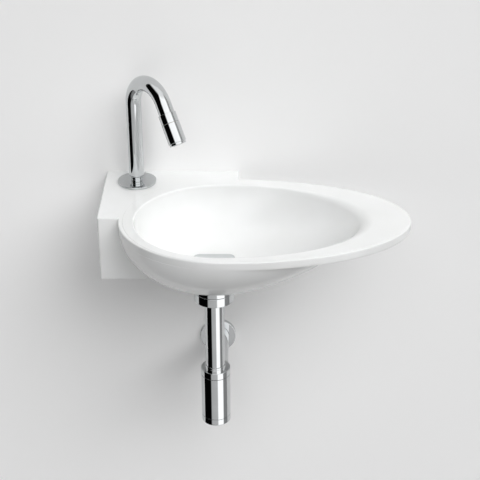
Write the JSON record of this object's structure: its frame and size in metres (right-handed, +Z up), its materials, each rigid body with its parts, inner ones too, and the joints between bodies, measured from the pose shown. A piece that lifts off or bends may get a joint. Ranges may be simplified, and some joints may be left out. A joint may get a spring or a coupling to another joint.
{
  "type": "wall-hung hand basin",
  "caption": "Small wall-hung hand basin: an egg-shaped bowl on a block with a twist-sleeve gooseneck tap, a plate-covered waste and a chrome bottle trap.",
  "frame": {"origin": "midway between the two wall fixings, on the face of the wall, 60 mm below the rim", "axes": "+X along the wall from the block towards the tip of the bowl, +Y into the wall, +Z up"},
  "size_m": [0.4028, 0.3141, 0.4802],
  "materials": {
    "glazed_ceramic": "white high-gloss glaze",
    "chrome": "polished chrome plate on brass",
    "raw_brass": "turned, unplated",
    "zinc_steel": "zinc-plated",
    "black_rubber": "matt",
    "white_nylon": "moulded",
    "disc_ceramic": "lapped"
  },
  "bodies": {
    "basin_body": {"basin": "glazed_ceramic", "wall_studs": "zinc_steel", "wall_sleeves": "white_nylon", "wall_washers": "zinc_steel", "wall_nuts": "zinc_steel", "tap_base": "chrome", "base_gasket": "black_rubber", "shank_rubber_washer": "black_rubber", "shank_washer": "zinc_steel", "shank_nut": "raw_brass", "waste_body": "chrome", "waste_gasket_upper": "black_rubber", "waste_gasket_lower": "black_rubber", "waste_nut": "chrome", "tail_nut": "chrome", "tail_seal": "black_rubber", "inlet_tube": "chrome", "inlet_collar": "chrome", "inlet_seal": "black_rubber", "bottle_cap": "chrome", "dip_tube": "raw_brass", "bottle_body": "chrome", "cap_seal": "black_rubber", "bottle_cup": "chrome", "cup_seal": "black_rubber", "outlet_pipe": "chrome", "wall_plate": "chrome"},
    "spout_body": {"neck_ring": "chrome", "spigot": "chrome", "spigot_orings": "black_rubber", "spigot_clip": "zinc_steel", "spout": "chrome", "spout_collar": "chrome", "valve_core": "raw_brass", "sleeve_oring": "black_rubber", "sleeve_clip": "zinc_steel", "fixed_disc": "disc_ceramic"},
    "sleeve_body": {"twist_sleeve": "chrome", "turning_disc": "disc_ceramic", "disc_driver": "white_nylon", "aerator_washer": "black_rubber", "aerator_housing": "chrome", "aerator_insert": "white_nylon"},
    "cover_body": {"waste_cover": "chrome", "cover_oring": "black_rubber"}
  },
  "joints": [
    {"name": "spout_swivel", "type": "hinge", "parent": "basin_body", "child": "spout_body", "pos_m": [-0.047, -0.0345, 0.0596], "axis": [0, 0, 1], "range_deg": [-45, 45]},
    {"name": "sleeve_twist", "type": "hinge", "parent": "spout_body", "child": "sleeve_body", "pos_m": [-0.00434, -0.08534, 0.19424], "axis": [0.3454, -0.4116, -0.8434], "range_deg": [0, 90]},
    {"name": "cover_lift", "type": "slide", "parent": "basin_body", "child": "cover_body", "axis": [0, 0, 1], "range_m": [0, 0.01]}
  ]
}
